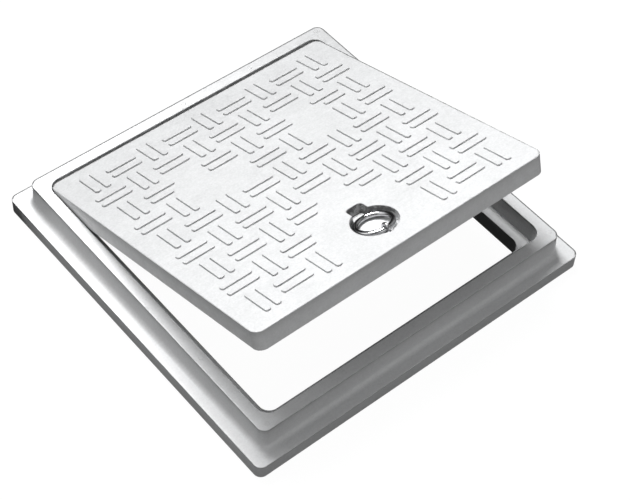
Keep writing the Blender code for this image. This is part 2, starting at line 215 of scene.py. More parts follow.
class Shell:
    """Vertices and faces of one closed mesh, with wear and painted light, and painted shade, on each
    vertex.
    """

    def __init__(self):
        self.points, self.faces, self.wear, self.painted_shade = [], [], [], []

    def ring(self, points, wear=0.0, painted_shade=0.0):
        """Adds a loop of points; the painted shade is one number, or a list with one for each point."""
        first = len(self.points)
        self.points += [tuple(point) for point in points]
        self.wear += [wear] * len(points)
        self.painted_shade += painted_shade if isinstance(painted_shade, list) else [painted_shade] * len(points)
        return list(range(first, len(self.points)))

    def level(self, outline, z, wear=0.0, painted_shade=0.0):
        return self.ring([(x, y, z) for x, y in outline], wear, painted_shade)

    def bridge(self, lower, upper):
        count = len(lower)
        for here in range(count):
            there = (here + 1) % count
            self.faces.append((lower[here], lower[there], upper[there], upper[here]))

    def stack(self, rings):
        for lower, upper in zip(rings, rings[1:]):
            self.bridge(lower, upper)

    def cap(self, ring):
        self.faces.append(tuple(ring))

    def plate(self, outer, holes):
        """Fills the flat region between an outer ring and convex holes."""
        rings = [outer, *holes]
        ids, owner, edges = [], [], []
        for number, ring in enumerate(rings):
            first, count = len(ids), len(ring)
            ids += ring
            owner += [number] * count
            edges += [(first + k, first + (k + 1) % count) for k in range(count)]
        flat = [Vector(self.points[index][:2]) for index in ids]
        for face in delaunay_2d_cdt(flat, edges, [], 2, 1e-7)[2]:
            owners = {owner[k] for k in face}
            if len(owners) > 1 or owners == {0}:
                self.faces.append(tuple(ids[k] for k in face))

    def mesh(self, name):
        mesh = bpy.data.meshes.new(name)
        mesh.from_pydata(self.points, [], self.faces)
        for label, values in (("wear", self.wear), ("painted_shade", self.painted_shade)):
            layer = mesh.attributes.new(label, "FLOAT", "POINT")
            layer.data.foreach_set("value", values)
        bm = bmesh.new()
        bm.from_mesh(mesh)
        bmesh.ops.recalc_face_normals(bm, faces=bm.faces)
        bm.to_mesh(mesh)
        bm.free()
        return mesh

    def object(self, name, matrix=None):
        item = bpy.data.objects.new(name, self.mesh(name))
        bpy.context.scene.collection.objects.link(item)
        if matrix is not None:
            item.data.transform(matrix)
        return item


def arc(centre_x, centre_y, radius, start_deg, end_deg, steps):
    points = []
    for step in range(steps + 1):
        angle = math.radians(start_deg + (end_deg - start_deg) * step / steps)
        points.append((centre_x + radius * math.cos(angle), centre_y + radius * math.sin(angle)))
    return points


def circle(centre_x, centre_y, radius, steps):
    return arc(centre_x, centre_y, radius, 0.0, 360.0, steps)[:-1]


def rounded_box(centre_x, centre_y, half_x, half_y, radius, steps):
    """A rectangle with round corners, counterclockwise from its +X side."""
    points = []
    for quarter, (sign_x, sign_y) in enumerate(((1, 1), (-1, 1), (-1, -1), (1, -1))):
        x = centre_x + sign_x * (half_x - radius)
        y = centre_y + sign_y * (half_y - radius)
        points += arc(x, y, radius, 90.0 * quarter, 90.0 * quarter + 90.0, steps)
    return points


def square(half, radius, steps=14):
    return rounded_box(0.0, 0.0, half, half, radius, steps)


def around_square(near, far, steps=14):
    """Painted shade for each point of square(): far on its back and right edges, near on the others."""
    values = []
    for quarter in range(4):
        for step in range(steps + 1):
            angle = math.radians(90.0 * quarter + 90.0 * step / steps)
            share = min(1.0, max(0.0, 1.0 + 1.4 * (math.cos(angle) + math.sin(angle))))
            values.append(near + (far - near) * share)
    return values


def join_meshes(target, *others):
    bpy.ops.object.select_all(action="DESELECT")
    for item in (target, *others):
        item.select_set(True)
    bpy.context.view_layer.objects.active = target
    bpy.ops.object.join()


def combine(item, tool, operation):
    """Applies one boolean to item and removes the tool."""
    modifier = item.modifiers.new("combine", "BOOLEAN")
    modifier.object, modifier.operation, modifier.solver = tool, operation, "EXACT"
    apply_modifiers(item)
    bpy.data.objects.remove(tool, do_unlink=True)


def apply_modifiers(item):
    depsgraph = bpy.context.evaluated_depsgraph_get()
    mesh = bpy.data.meshes.new_from_object(item.evaluated_get(depsgraph))
    item.modifiers.clear()
    item.data = mesh


def finish_piece(item, material, body, node, sharp_deg=35.0):
    """Smooth shading, material, and the body, slot and CAD node that the piece stands for."""
    item.data.materials.clear()
    item.data.materials.append(material)
    item.data.shade_smooth()
    item.data.set_sharp_from_angle(angle=math.radians(sharp_deg))
    weighted = item.modifiers.new("weighted_normals", "WEIGHTED_NORMAL")
    weighted.keep_sharp = True
    weighted.weight = 100
    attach(item, body)
    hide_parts(node)


# ---------------------------------------------------------------- frame

def frame_section():
    """Rows (half width, height, corner radius, near and far painted shade), from inside to outside.

    Also gives the index of the last row before the rim's flat top.
    """
    rows = []

    def corner(centre_x, centre_z, radius, start_deg, end_deg, steps, half, corner_radius,
               near, far=None):
        """A rounded edge; near and far are the painted shade at its start and at its end."""
        far = far or near
        for step, (x, z) in enumerate(arc(centre_x, centre_z, radius, start_deg, end_deg, steps)):
            shades = [start + (end - start) * step / steps for start, end in (near, far)]
            rows.append((x, z, corner_radius + x - half, *shades))

    def edge_line(half, z, corner_radius):
        # painted shade: a dark strip on the flat top beside the far edges
        for inset, far in zip(EDGE_LINE, (0.0, EDGE_LINE_SHADE)):
            rows.append((half - inset, z, corner_radius - inset, 0.0, far))

    # painted shade in the opening and in the ledge's corner, painted light on the ledge
    corner(CLEAR_HALF + FOOT_ROUND, FOOT_ROUND, FOOT_ROUND, 270.0, 180.0, 2,
           CLEAR_HALF, CLEAR_CORNER, (WALL_SHADE, WALL_SHADE))
    corner(CLEAR_HALF + EDGE_ROUND, LEDGE_Z - EDGE_ROUND, EDGE_ROUND, 180.0, 90.0, 4,
           CLEAR_HALF, CLEAR_CORNER, (WALL_SHADE, LEDGE_SHADE))
    corner(RECESS_BOTTOM - LEDGE_FILLET, LEDGE_Z + LEDGE_FILLET, LEDGE_FILLET, 270.0, 360.0, 5,
           RECESS_BOTTOM, RECESS_CORNER, (LEDGE_SHADE, LEDGE_CORNER_SHADE))
    # painted shade on the recess wall and its top edge
    rows.append((RECESS_TOP, RIM_Z - 7.0 * MM, RECESS_CORNER, 1.0, 1.0))
    corner(RECESS_TOP + RECESS_EDGE, RIM_Z - RECESS_EDGE, RECESS_EDGE, 180.0, 90.0, 6,
           RECESS_TOP, RECESS_CORNER, (RECESS_EDGE_SHADE, 0.0))
    top_inner = len(rows) - 1
    edge_line(RIM_OUTER, RIM_Z, RIM_CORNER)
    # painted shade: the near outer edges and the walls just under them darker, the flange's side darker
    # towards the ground
    corner(RIM_OUTER - EDGE_ROUND, RIM_Z - EDGE_ROUND, EDGE_ROUND, 90.0, 0.0, 4,
           RIM_OUTER, RIM_CORNER, (0.0, 2.0), (EDGE_LINE_SHADE, EDGE_LINE_SHADE))
    rows.append((RIM_OUTER, RIM_Z - 4.0 * MM, RIM_CORNER, 0.8, 0.8))
    rows.append((RIM_OUTER, RIM_Z - 12.0 * MM, RIM_CORNER, 0.3, 0.3))
    corner(WALL_FOOT + WALL_FILLET, FLANGE_Z + WALL_FILLET, WALL_FILLET, 180.0, 270.0, 10,
           RIM_OUTER, RIM_CORNER, (0.15, 0.15))
    edge_line(FLANGE_OUTER, FLANGE_Z, FLANGE_CORNER)
    corner(FLANGE_OUTER - EDGE_ROUND, FLANGE_Z - EDGE_ROUND, EDGE_ROUND, 90.0, 0.0, 4,
           FLANGE_OUTER, FLANGE_CORNER, (0.0, 1.5), (EDGE_LINE_SHADE, EDGE_LINE_SHADE))
    rows.append((FLANGE_OUTER, FLANGE_Z - 5.0 * MM, FLANGE_CORNER, 0.6, 0.6))
    corner(FLANGE_OUTER - FOOT_ROUND, FOOT_ROUND, FOOT_ROUND, 0.0, -90.0, 2,
           FLANGE_OUTER, FLANGE_CORNER, (1.0, 1.0))
    return rows, top_inner


def frame_pips(shell):
    """Low round pips along the middle of the rim's top; returns their lowest rings."""
    middle = (RECESS_TOP + RIM_OUTER) / 2.0
    feet = []
    for side in range(4):
        turn = Matrix.Rotation(math.radians(90.0 * side), 4, "Z")
        for along in PIP_SPOTS:
            spot = turn @ Vector((along, -middle, 0.0))
            rings = []
            # painted shade on the pips' sides
            for shrink, rise, wear, painted_shade in (
                (0.0, 0.0, 0.0, 0.0), (0.2, 0.35, 0.0, 0.6), (0.6, 0.8, 0.0, 0.3), (1.2, 1.0, 0.0, 0.0)
            ):
                outline = circle(spot.x, spot.y, PIP_RADIUS - shrink * MM, 20)
                rings.append(shell.level(outline, RIM_Z + rise * PIP_HEIGHT, wear, painted_shade))
            shell.stack(rings)
            shell.cap(rings[-1])
            feet.append(rings[0])
    return feet


def moulded_pocket(shell, centre_x, centre_y, half_x, half_y, mouth_z, depth, corner, fillet):
    """A drafted pocket open downwards, with a round lip and floor; returns its mouth ring."""
    rings = []
    # on the lip, real wear makes it lighter; painted shade grows towards the pocket's floor
    for inset, z, wear, painted_shade in (
        (-FOOT_ROUND, 0.0, 0.2, 0.0),
        (-0.3 * FOOT_ROUND, 0.3 * FOOT_ROUND, 0.4, 0.0),
        (0.0, FOOT_ROUND, 0.2, 0.0),
        (MOULD_DRAFT, depth - fillet, 0.0, 0.5),
        (MOULD_DRAFT + 0.3 * fillet, depth - 0.3 * fillet, 0.0, 0.9),
        (MOULD_DRAFT + fillet, depth, 0.0, 0.6),
    ):
        radius = max(corner - inset, 0.4 * MM)
        outline = rounded_box(centre_x, centre_y, half_x - inset, half_y - inset, radius, 4)
        rings.append(shell.level(outline, mouth_z + z, wear, painted_shade))
    shell.stack(rings)
    shell.cap(rings[-1])
    return rings[0]


def build_frame():
    shell = Shell()
    rows, top_inner = frame_section()
    rings = [shell.level(square(half, radius), z, painted_shade=around_square(near, far))
             for half, z, radius, near, far in rows]
    shell.stack(rings[:top_inner + 1])
    shell.stack(rings[top_inner + 1:])
    shell.plate(rings[top_inner + 1], [rings[top_inner], *frame_pips(shell)])

    mouths = []
    inner, outer = CLEAR_HALF + FRAME_WALL, FLANGE_OUTER - FRAME_WALL
    pitch = 2.0 * CLEAR_HALF / FRAME_POCKETS
    across, along_half = (outer - inner) / 2.0, (pitch - FRAME_RIB) / 2.0
    corner_half = across - FRAME_RIB / 2.0
    for side in range(4):
        turn = Matrix.Rotation(math.radians(90.0 * side), 4, "Z")
        spots = [(Vector(((inner + outer) / 2.0, (index - (FRAME_POCKETS - 1) / 2.0) * pitch, 0.0)),
                  across, along_half) for index in range(FRAME_POCKETS)]
        spots.append((Vector((inner + corner_half, inner + corner_half, 0.0)), corner_half, corner_half))
        for spot, half_x, half_y in spots:
            place = turn @ spot
            if side % 2:
                half_x, half_y = half_y, half_x
            mouths.append(moulded_pocket(
                shell, place.x, place.y, half_x, half_y, 0.0, FRAME_POCKET_DEPTH, 4.0 * MM, 2.0 * MM))
    shell.plate(rings[-1], [rings[0], *mouths])
    return shell.object("frame_moulding")


# ---------------------------------------------------------------- cover

def outside_plain_circle(start, end, across):
    """Shortens a bar's run so that it stays out of the plain circle; across is squared."""
    clear = PLAIN_CIRCLE ** 2 - across
    if clear <= 0.0:
        return start, end
    reach = math.sqrt(clear)
    if start < -reach < end:
        return start, -reach
    if start < reach < end:
        return reach, end
    if -reach <= start and end <= reach:
        return start, start
    return start, end


def tread_bars():
    """All bars as (centre x, centre y, half along x, half along y)."""
    bars = []
    middle = (TREAD_CELLS - 1) / 2.0
    for row in range(TREAD_CELLS):
        for column in range(TREAD_CELLS):
            if (row, column) in PLAIN_CELLS:
                continue
            cell_x = (column - middle) * TREAD_PITCH
            cell_y = (middle - row) * TREAD_PITCH
            along_x = (row + column) % 2 == 1
            for side in (-0.5, 0.5):
                shift, cut = side * BAR_SPACING, 0.0
                if along_x:
                    centre, fixed, across = cell_x, cell_y + shift, cell_y + shift - POCKET_Y
                    cut = CUT_BARS.get((row, column), 0.0) if side < 0.0 else 0.0
                else:
                    centre, fixed, across = cell_y - POCKET_Y, cell_x + shift, cell_x + shift
                low = centre - BAR_LENGTH / 2.0 - min(cut, 0.0)
                high = centre + BAR_LENGTH / 2.0 - max(cut, 0.0)
                low, high = outside_plain_circle(low, high, across ** 2)
                if high - low < SHORTEST_BAR * BAR_LENGTH:
                    continue
                middle_run, half_run = (low + high) / 2.0, (high - low) / 2.0
                if along_x:
                    bars.append((middle_run, fixed, half_run, BAR_WIDTH / 2.0))
                else:
                    bars.append((fixed, middle_run + POCKET_Y, BAR_WIDTH / 2.0, half_run))
    return bars


def add_bar(shell, centre_x, centre_y, half_x, half_y):
    rings = []
    for grow, z, wear, painted_shade in BAR_STEPS:
        outline = rounded_box(
            centre_x, centre_y, half_x + grow, half_y + grow, BAR_CORNER + grow, 5)
        rings.append(shell.level(outline, z, wear, painted_shade))
    shell.stack(rings)
    shell.cap(rings[-1])
    return rings[0]


def cover_slab():
    """The ribbed cover with its tread, before the ring pocket is let into it."""
    shell = Shell()
    foot = COVER_HALF - SIDE_DRAFT
    edge = arc(COVER_HALF - COVER_EDGE, -COVER_EDGE, COVER_EDGE, 90.0, 0.0, 4)
    # each row: half width, height, wear and painted light, near and far painted shade
    rows = [(COVER_HALF - inset, 0.0, 0.0, 0.0, far)
            for inset, far in zip(EDGE_LINE, (0.0, COVER_LINE_SHADE))]
    rows += [(x, z, 0.0, 0.3 * step, COVER_LINE_SHADE) for step, (x, z) in enumerate(edge)]
    # painted shade just under the top edge; painted light makes the sides lighter lower down
    rows.append((COVER_HALF - 0.10 * SIDE_DRAFT, -0.12 * COVER_THICKNESS, 0.0, 0.7, 0.7))
    rows.append((COVER_HALF - 0.25 * SIDE_DRAFT, -0.25 * COVER_THICKNESS, 0.0, 0.3, 0.3))
    rows.append((COVER_HALF - 0.50 * SIDE_DRAFT, -0.50 * COVER_THICKNESS, 0.6, 0.0, 0.0))
    rows += [(x, z, 0.8, 0.0, 0.0) for x, z in
             arc(foot - FOOT_ROUND, FOOT_ROUND - COVER_THICKNESS, FOOT_ROUND, 0.0, -90.0, 2)]
    rings = [shell.level(square(x, COVER_CORNER + x - COVER_HALF), z, wear, around_square(near, far))
             for x, z, wear, near, far in rows]
    shell.stack(rings)
    shell.plate(rings[0], [add_bar(shell, *bar) for bar in tread_bars()])

    inner = foot - COVER_WALL
    pitch = (2.0 * inner + COVER_RIB) / COVER_CELLS
    half = (pitch - COVER_RIB) / 2.0
    mouths = []
    for column in range(COVER_CELLS):
        for row in range(COVER_CELLS):
            mouths.append(moulded_pocket(
                shell, (column - (COVER_CELLS - 1) / 2.0) * pitch, (row - (COVER_CELLS - 1) / 2.0) * pitch,
                half, half, -COVER_THICKNESS, COVER_THICKNESS - COVER_SKIN, 6.0 * MM, 3.0 * MM))
    shell.plate(rings[-1], mouths)
    return shell


def pocket_outline(grow, steps=40):
    """The ring pocket from above: a circle with a finger lobe behind and a notch in front."""
    radius = POCKET_RADIUS + grow
    lobe_half = LOBE_WIDTH / 2.0 + grow
    lobe_end = POCKET_Y + LOBE_REACH + grow
    corner = LOBE_CORNER + grow
    lobe_angle = math.degrees(math.asin(lobe_half / radius))
    notch_y = POCKET_Y - NOTCH_OFFSET
    notch_radius = NOTCH_RADIUS + grow
    reach = (radius ** 2 - notch_radius ** 2 + NOTCH_OFFSET ** 2) / (2.0 * NOTCH_OFFSET)
    meet_x = math.sqrt(radius ** 2 - reach ** 2)
    notch_angle = math.degrees(math.atan2(meet_x, reach))
    notch_start = math.degrees(math.atan2(NOTCH_OFFSET - reach, meet_x))
    points = arc(0.0, POCKET_Y, radius, -90.0 + notch_angle, 90.0 - lobe_angle, steps)
    points += arc(lobe_half - corner, lobe_end - corner, corner, 0.0, 90.0, 8)
    points += arc(corner - lobe_half, lobe_end - corner, corner, 90.0, 180.0, 8)
    points += arc(0.0, POCKET_Y, radius, 90.0 + lobe_angle, 270.0 - notch_angle, steps)
    notch = arc(0.0, notch_y, notch_radius, 180.0 - notch_start, 360.0 + notch_start, 14)
    return points + notch[1:-1]


def pocket_tool():
    """What is cut out of the cover: a flared lip, drafted walls and a filleted floor."""
    shell = Shell()
    lip = arc(0.0, -POCKET_LIP, POCKET_LIP, 90.0, 0.0, 4)
    rows = [(POCKET_LIP, 1.0 * MM)] + [(POCKET_LIP - x, z) for x, z in lip]
    rows.append((-0.4 * MOULD_DRAFT, -0.4 * POCKET_DEPTH))
    rows += [(-MOULD_DRAFT - POCKET_FILLET + x, z) for x, z in
             arc(0.0, POCKET_FILLET - POCKET_DEPTH, POCKET_FILLET, 0.0, -90.0, 4)]
    rings = [shell.level(pocket_outline(grow), z) for grow, z in rows]
    shell.cap(rings[0])
    shell.stack(rings)
    shell.cap(rings[-1])
    return shell.object("pocket_tool")


def cup_tool():
    """The wall and floor that hang under the skin round the ring pocket."""
    shell = Shell()
    bottom = -POCKET_DEPTH - POCKET_FLOOR
    fillet = 2.0 * MM
    rings = [shell.level(pocket_outline(POCKET_WALL), -COVER_SKIN / 2.0)]
    rings += [shell.level(pocket_outline(POCKET_WALL - fillet + x), z, 0.4) for x, z in
              arc(0.0, bottom + fillet, fillet, 0.0, -90.0, 3)]
    shell.cap(rings[0])
    shell.stack(rings)
    shell.cap(rings[-1])
    return shell.object("cup_tool")


def bore_tool():
    shell = Shell()
    rings = [shell.level(circle(0.0, RING_PIVOT_Y, BORE_RADIUS, 40), z)
             for z in (-COVER_THICKNESS, 5.0 * MM - POCKET_DEPTH)]
    shell.cap(rings[0])
    shell.stack(rings)
    shell.cap(rings[-1])
    return shell.object("bore_tool")


def in_pocket(x, y, margin):
    """Whether a point seen from above lies in the ring pocket grown by a margin."""
    from_centre = y - POCKET_Y
    in_circle = math.hypot(x, from_centre) < POCKET_RADIUS + margin
    in_lobe = abs(x) < LOBE_WIDTH / 2.0 + margin and 0.0 < from_centre < LOBE_REACH + margin
    in_notch = math.hypot(x, from_centre + NOTCH_OFFSET) < NOTCH_RADIUS + margin
    return in_circle or in_lobe or in_notch


def tint_pocket(mesh):
    """Painted shade on the ring pocket's walls, most at its back; painted light makes the floor lighter
    than the rest.
    """
    painted_shade = mesh.attributes["painted_shade"].data
    near_floor = 0.1 * MM
    for vertex in mesh.vertices:
        x, y, z = vertex.co
        if z < -POCKET_DEPTH - near_floor or not in_pocket(x, y, 2.0 * POCKET_LIP):
            continue
        backward = (y - POCKET_Y) / POCKET_RADIUS
        share = 1.0
        if z < -POCKET_DEPTH + near_floor:
            share = 0.0
        elif z < -0.5 * POCKET_DEPTH:
            share = min(1.0, max(0.0, (backward - 0.1) / 0.6))
        elif z < -0.3 * POCKET_DEPTH:
            share = min(1.0, max(0.0, (backward + 0.6) / 0.6))
        value = POCKET_FLOOR_SHADE + (POCKET_WALL_SHADE - POCKET_FLOOR_SHADE) * share
        painted_shade[vertex.index].value = value * min(1.0, -z / POCKET_LIP)


def build_cover(matrix):
    cover = cover_slab().object("cover_moulding")
    combine(cover, cup_tool(), "UNION")
    combine(cover, pocket_tool(), "DIFFERENCE")
    combine(cover, bore_tool(), "DIFFERENCE")
    tint_pocket(cover.data)
    cover.data.transform(matrix)
    return cover


# ---------------------------------------------------------------- fittings

def torus_rings(shell, major, minor, major_steps, minor_steps, transform):
    rings = []
    for step in range(major_steps):
        turn = Matrix.Rotation(math.tau * step / major_steps, 4, "Z")
        section = circle(major, 0.0, minor, minor_steps)
        rings.append(shell.ring([transform @ turn @ Vector((x, 0.0, z)) for x, z in section]))
    shell.stack([*rings, rings[0]])


def build_lifting_ring(matrix):
    """A round steel ring; it hangs on the eye, and its far side lies on the pocket's floor."""
    shell = Shell()
    torus_rings(shell, RING_RADIUS, RING_BAR, 128, 28, Matrix.Translation((0.0, RING_RADIUS, 0.0)))
    pivot = Matrix.Translation((0.0, RING_PIVOT_Y, -RING_DEPTH))
    tilt = Matrix.Rotation(math.radians(RING_REST_DEG), 4, "X")
    return shell.object("lifting_ring_forged", matrix @ pivot @ tilt)


def turned(shell, profile, steps):
    """A solid of revolution about Z from (radius, z) points, closed by a flat cap at both ends."""
    rings = [shell.level(circle(0.0, 0.0, radius, steps), z) for radius, z in profile]
    shell.cap(rings[0])
    shell.stack(rings)
    shell.cap(rings[-1])


def eye_forging():
    """Eye, neck and collar flowing into each other, as a forging does."""
    eye = Shell()
    torus_rings(eye, EYE_RADIUS, EYE_WIRE, 64, 20, Matrix.Rotation(math.radians(90.0), 4, "Y"))
    item = eye.object("eye_bolt_forged")
    neck = Shell()
    collar_top = BOLT_FLOOR + COLLAR_HEIGHT
    edge = 0.6 * MM
    turned(neck, [
        (COLLAR_RADIUS - edge, BOLT_FLOOR),
        (COLLAR_RADIUS, BOLT_FLOOR + edge),
        (COLLAR_RADIUS, collar_top - edge),
        (COLLAR_RADIUS - edge, collar_top),
        (NECK_RADIUS + 1.0 * MM, collar_top + 0.2 * MM),
        (NECK_RADIUS, collar_top + 1.2 * MM),
        (0.8 * NECK_RADIUS, -EYE_RADIUS - 0.5 * MM),
        (0.5 * NECK_RADIUS, -EYE_RADIUS),
    ], 40)
    join_meshes(item, neck.object("neck"))
    remesh = item.modifiers.new("remesh", "REMESH")
    remesh.mode, remesh.voxel_size = "VOXEL", 0.35 * MM
    smooth = item.modifiers.new("smooth", "SMOOTH")
    smooth.factor, smooth.iterations = 0.5, 5
    apply_modifiers(item)
    return item


def threaded_shank():
    """The bolt's shank: a plain neck, then a helical thread down to a chamfered end."""
    shell = Shell()
    steps, per_pitch = 32, 8
    plain_end = BOLT_FLOOR - 5.0 * MM
    rings = [shell.level(circle(0.0, 0.0, SHANK_RADIUS, steps), z)
             for z in (BOLT_FLOOR + 1.0 * MM, plain_end)]
    count = int((plain_end - SHANK_END) / THREAD_PITCH * per_pitch)
    for index in range(1, count + 1):
        z = plain_end - index * THREAD_PITCH / per_pitch
        taper = min(1.0, (z - SHANK_END) / (1.5 * MM))
        points = []
        for step in range(steps):
            turn = (index / per_pitch + step / steps) % 1.0
            depth = THREAD_DEPTH * (1.0 - abs(2.0 * turn - 1.0)) * min(1.0, index / per_pitch)
            radius = min(SHANK_RADIUS - depth, SHANK_RADIUS - 1.0 * MM * (1.0 - taper))
            angle = math.tau * step / steps
            points.append((radius * math.cos(angle), radius * math.sin(angle), z))
        rings.append(shell.ring(points))
    shell.cap(rings[0])
    shell.stack(rings)
    shell.cap(rings[-1])
    return shell.object("shank")


def build_eye_bolt(matrix):
    bolt = eye_forging()
    combine(bolt, threaded_shank(), "UNION")
    bolt.data.transform(matrix @ Matrix.Translation((0.0, RING_PIVOT_Y, -RING_DEPTH)))
    return bolt


def closed_section(shell, profile, steps):
    """A ring-shaped solid of revolution from a closed (radius, z) section."""
    rings = [shell.level(circle(0.0, 0.0, radius, steps), z) for radius, z in profile]
    shell.stack([*rings, rings[0]])


def build_plain_washer(matrix):
    low, high = WASHER_HEIGHTS
    shell = Shell()
    edge = 0.3 * MM
    closed_section(shell, [
        (BORE_RADIUS, low + edge), (BORE_RADIUS + edge, low),
        (WASHER_RADIUS - edge, low), (WASHER_RADIUS, low + edge),
        (WASHER_RADIUS, high - edge), (WASHER_RADIUS - edge, high),
        (BORE_RADIUS + edge, high), (BORE_RADIUS, high - edge),
    ], 64)
    return shell.object("plain_washer_steel", matrix @ Matrix.Translation((0.0, RING_PIVOT_Y, 0.0)))


def build_spring_washer(matrix):
    """A split ring of flat wire whose two ends stand slightly apart in height."""
    low, high = SPRING_HEIGHTS
    shell = Shell()
    steps, edge, lift = 56, 0.25 * MM, 0.35 * MM
    rings = []
    for step in range(steps + 1):
        share = step / steps
        angle = math.radians(8.0 + 344.0 * share)
        bottom, top = low + lift * share, high - lift * (1.0 - share)
        section = [
            (BORE_RADIUS + edge, bottom), (SPRING_RADIUS - edge, bottom),
            (SPRING_RADIUS, bottom + edge), (SPRING_RADIUS, top - edge),
            (SPRING_RADIUS - edge, top), (BORE_RADIUS + edge, top),
            (BORE_RADIUS, top - edge), (BORE_RADIUS, bottom + edge),
        ]
        rings.append(shell.ring([(r * math.cos(angle), r * math.sin(angle), z) for r, z in section]))
    shell.stack(rings)
    shell.cap(rings[0])
    shell.cap(rings[-1])
    return shell.object("spring_washer_steel", matrix @ Matrix.Translation((0.0, RING_PIVOT_Y, 0.0)))


def build_nut(matrix):
    """A hexagon nut with chamfered corners and a countersunk bore."""
    low, high = NUT_HEIGHTS
    flats = NUT_FLATS / 2.0
    face = 0.95 * flats
    shell = Shell()
    steps = 72

    def row(radius_of, z_of):
        points = []
        for step in range(steps):
            angle = math.tau * step / steps
            from_flat = (angle + math.pi / 6.0) % (math.pi / 3.0) - math.pi / 6.0
            hexagon = flats / math.cos(math.pi / 6.0 - abs(from_flat))
            radius = radius_of(hexagon)
            points.append((radius * math.cos(angle), radius * math.sin(angle), z_of(radius)))
        return shell.ring(points)

    slope = math.tan(math.radians(28.0))
    sink = 0.5 * MM
    rings = [
        row(lambda h: BORE_RADIUS, lambda r: low + sink),
        row(lambda h: BORE_RADIUS + sink, lambda r: low),
        row(lambda h: face, lambda r: low),
        row(lambda h: h, lambda r: low + slope * (r - face)),
        row(lambda h: h, lambda r: high - slope * (r - face)),
        row(lambda h: face, lambda r: high),
        row(lambda h: BORE_RADIUS + sink, lambda r: high),
        row(lambda h: BORE_RADIUS, lambda r: high - sink),
    ]
    shell.stack([*rings, rings[0]])
    return shell.object("hex_nut_steel", matrix @ Matrix.Translation((0.0, RING_PIVOT_Y, 0.0)))


# ---------------------------------------------------------------- materials

class Graph:
    """A material's node tree, with short calls for the nodes used here."""

    def __init__(self, name):
        self.material = bpy.data.materials.new(name)
        self.material.use_nodes = True
        self.tree = self.material.node_tree
        self.shader = self.tree.nodes["Principled BSDF"]
        texture = self.add("ShaderNodeTexCoord")
        self.coords, self.normals = texture.outputs["Object"], texture.outputs["Normal"]

    def add(self, kind, **settings):
        node = self.tree.nodes.new(kind)
        for key, value in settings.items():
            setattr(node, key, value)
        return node

    def join(self, source, socket):
        if isinstance(source, (int, float)):
            socket.default_value = source
        else:
            self.tree.links.new(source, socket)

    def stretched(self, scale, turn_deg=0.0):
        node = self.add("ShaderNodeMapping")
        node.inputs["Scale"].default_value = scale
        node.inputs["Rotation"].default_value = (0.0, 0.0, math.radians(turn_deg))
        self.join(self.coords, node.inputs["Vector"])
        return node.outputs["Vector"]

    def noise(self, scale, detail=3.0, roughness=0.5, distortion=0.0, vector=None):
        node = self.add("ShaderNodeTexNoise")
        self.join(self.coords if vector is None else vector, node.inputs["Vector"])
        node.inputs["Scale"].default_value = scale
        node.inputs["Detail"].default_value = detail
        node.inputs["Roughness"].default_value = roughness
        node.inputs["Distortion"].default_value = distortion
        return node.outputs["Fac"]

    def spread(self, value, from_low, from_high, to_low, to_high):
        node = self.add("ShaderNodeMapRange")
        node.inputs["From Min"].default_value = from_low
        node.inputs["From Max"].default_value = from_high
        node.inputs["To Min"].default_value = to_low
        node.inputs["To Max"].default_value = to_high
        self.join(value, node.inputs["Value"])
        return node.outputs["Result"]

    def math(self, operation, first, second):
        node = self.add("ShaderNodeMath", operation=operation)
        self.join(first, node.inputs[0])
        self.join(second, node.inputs[1])
        return node.outputs[0]

    def dot(self, vector, towards):
        node = self.add("ShaderNodeVectorMath", operation="DOT_PRODUCT")
        self.join(vector, node.inputs[0])
        node.inputs[1].default_value = towards
        return node.outputs["Value"]

    def total(self, *values):
        result = values[0]
        for value in values[1:]:
            result = self.math("ADD", result, value)
        return result

    def painted(self, label):
        return self.add("ShaderNodeAttribute", attribute_name=label).outputs["Fac"]

    def ramp(self, value, *stops):
        node = self.add("ShaderNodeValToRGB")
        elements = node.color_ramp.elements
        while len(elements) < len(stops):
            elements.new(0.5)
        for element, (position, colour) in zip(elements, stops):
            element.position, element.color = position, (*colour, 1.0)
        self.join(value, node.inputs["Fac"])
        return node.outputs["Color"]

    def bump(self, height, strength, distance, normal=None):
        node = self.add("ShaderNodeBump")
        node.inputs["Strength"].default_value = strength
        node.inputs["Distance"].default_value = distance
        self.join(height, node.inputs["Height"])
        if normal is not None:
            self.join(normal, node.inputs["Normal"])
        return node.outputs["Normal"]

    def finish(self, colour, roughness, normal, **constants):
        self.join(colour, self.shader.inputs["Base Color"])
        self.join(roughness, self.shader.inputs["Roughness"])
        self.join(normal, self.shader.inputs["Normal"])
        for key, value in constants.items():
            self.shader.inputs[key.replace("_", " ")].default_value = value
        return self.material


def tint(colour, factor):
    return tuple(min(1.0, channel * factor) for channel in colour)


